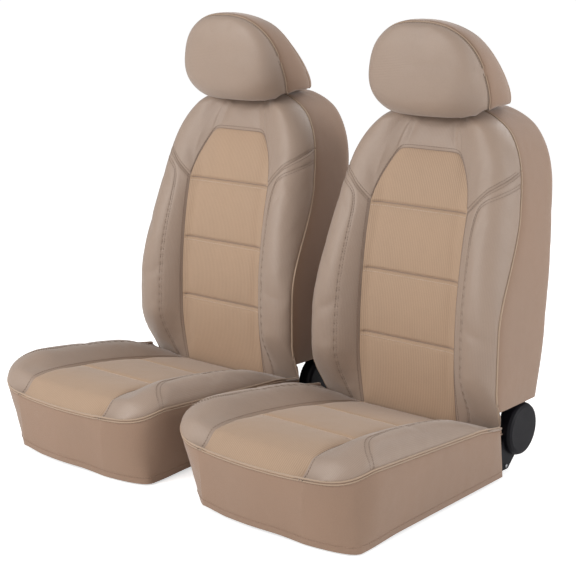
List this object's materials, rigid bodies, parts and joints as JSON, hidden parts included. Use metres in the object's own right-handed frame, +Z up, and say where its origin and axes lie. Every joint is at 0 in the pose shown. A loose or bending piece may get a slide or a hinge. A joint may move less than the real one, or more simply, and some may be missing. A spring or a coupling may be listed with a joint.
{
  "type": "seat cover set",
  "caption": "Pair of reclining bucket seats dressed in a fitted fabric cover set, with mesh inserts, bolsters, skirts, lifting headrests and floor rails.",
  "frame": {"origin": "bottom centre of the pair's bounding box, on the floor face of the rails, midway between the two seats", "axes": "+Z up, the seats face -Y, +X runs across the pair towards the right seat as seen from the front"},
  "size_m": [1.0818, 0.8172, 0.9924],
  "materials": {
    "taupe_fabric": "matte",
    "mesh_fabric": "matte",
    "stretch_fabric": "matte",
    "foam": "matte",
    "webbing": "matte",
    "black_plastic": "satin",
    "post_steel": "satin",
    "frame_steel": "satin"
  },
  "bodies": {
    "floor_rails": {"floor_rails": "frame_steel"},
    "left_cushion": {"left_cushion_insert": "mesh_fabric", "left_cushion_inboard_bolster": "taupe_fabric", "left_cushion_outboard_bolster": "taupe_fabric", "left_cushion_skirt": "stretch_fabric", "left_cushion_foam": "foam", "left_cushion_pan": "frame_steel", "left_cushion_straps": "webbing", "left_strap_buckles": "black_plastic", "left_recliner_brackets": "frame_steel", "left_recliner_pivots": "post_steel", "left_recliner_covers": "black_plastic", "left_seat_rails": "frame_steel"},
    "left_backrest": {"left_backrest_insert": "mesh_fabric", "left_backrest_yoke": "taupe_fabric", "left_backrest_inboard_bolster": "taupe_fabric", "left_backrest_outboard_bolster": "taupe_fabric", "left_backrest_inboard_side": "stretch_fabric", "left_backrest_outboard_side": "stretch_fabric", "left_backrest_top_panel": "stretch_fabric", "left_backrest_back_panel": "stretch_fabric", "left_backrest_foam": "foam", "left_backrest_frame": "frame_steel", "left_headrest_guides": "black_plastic", "left_backrest_tie_strap": "webbing"},
    "left_headrest": {"left_headrest_front_panel": "taupe_fabric", "left_headrest_side_band": "stretch_fabric", "left_headrest_back_panel": "stretch_fabric", "left_headrest_foam": "foam", "left_headrest_posts": "post_steel"},
    "right_cushion": {"right_cushion_insert": "mesh_fabric", "right_cushion_inboard_bolster": "taupe_fabric", "right_cushion_outboard_bolster": "taupe_fabric", "right_cushion_skirt": "stretch_fabric", "right_cushion_foam": "foam", "right_cushion_pan": "frame_steel", "right_cushion_straps": "webbing", "right_strap_buckles": "black_plastic", "right_recliner_brackets": "frame_steel", "right_recliner_pivots": "post_steel", "right_recliner_covers": "black_plastic", "right_seat_rails": "frame_steel"},
    "right_backrest": {"right_backrest_insert": "mesh_fabric", "right_backrest_yoke": "taupe_fabric", "right_backrest_inboard_bolster": "taupe_fabric", "right_backrest_outboard_bolster": "taupe_fabric", "right_backrest_inboard_side": "stretch_fabric", "right_backrest_outboard_side": "stretch_fabric", "right_backrest_top_panel": "stretch_fabric", "right_backrest_back_panel": "stretch_fabric", "right_backrest_foam": "foam", "right_backrest_frame": "frame_steel", "right_headrest_guides": "black_plastic", "right_backrest_tie_strap": "webbing"},
    "right_headrest": {"right_headrest_front_panel": "taupe_fabric", "right_headrest_side_band": "stretch_fabric", "right_headrest_back_panel": "stretch_fabric", "right_headrest_foam": "foam", "right_headrest_posts": "post_steel"}
  },
  "joints": [
    {"name": "left_seat_slide", "type": "slide", "parent": "floor_rails", "child": "left_cushion", "axis": [0, -1, 0], "range_m": [-0.05, 0.12]},
    {"name": "left_recline", "type": "hinge", "parent": "left_cushion", "child": "left_backrest", "pos_m": [-0.286, 0.24, 0.095], "axis": [-1, 0, 0], "range_deg": [-3, 40]},
    {"name": "left_headrest_lift", "type": "slide", "parent": "left_backrest", "child": "left_headrest", "axis": [0, 0.1668, 0.986], "range_m": [0, 0.06]},
    {"name": "right_seat_slide", "type": "slide", "parent": "floor_rails", "child": "right_cushion", "axis": [0, -1, 0], "range_m": [-0.05, 0.12]},
    {"name": "right_recline", "type": "hinge", "parent": "right_cushion", "child": "right_backrest", "pos_m": [0.286, 0.24, 0.095], "axis": [-1, 0, 0], "range_deg": [-3, 40]},
    {"name": "right_headrest_lift", "type": "slide", "parent": "right_backrest", "child": "right_headrest", "axis": [0, 0.1668, 0.986], "range_m": [0, 0.06]}
  ]
}
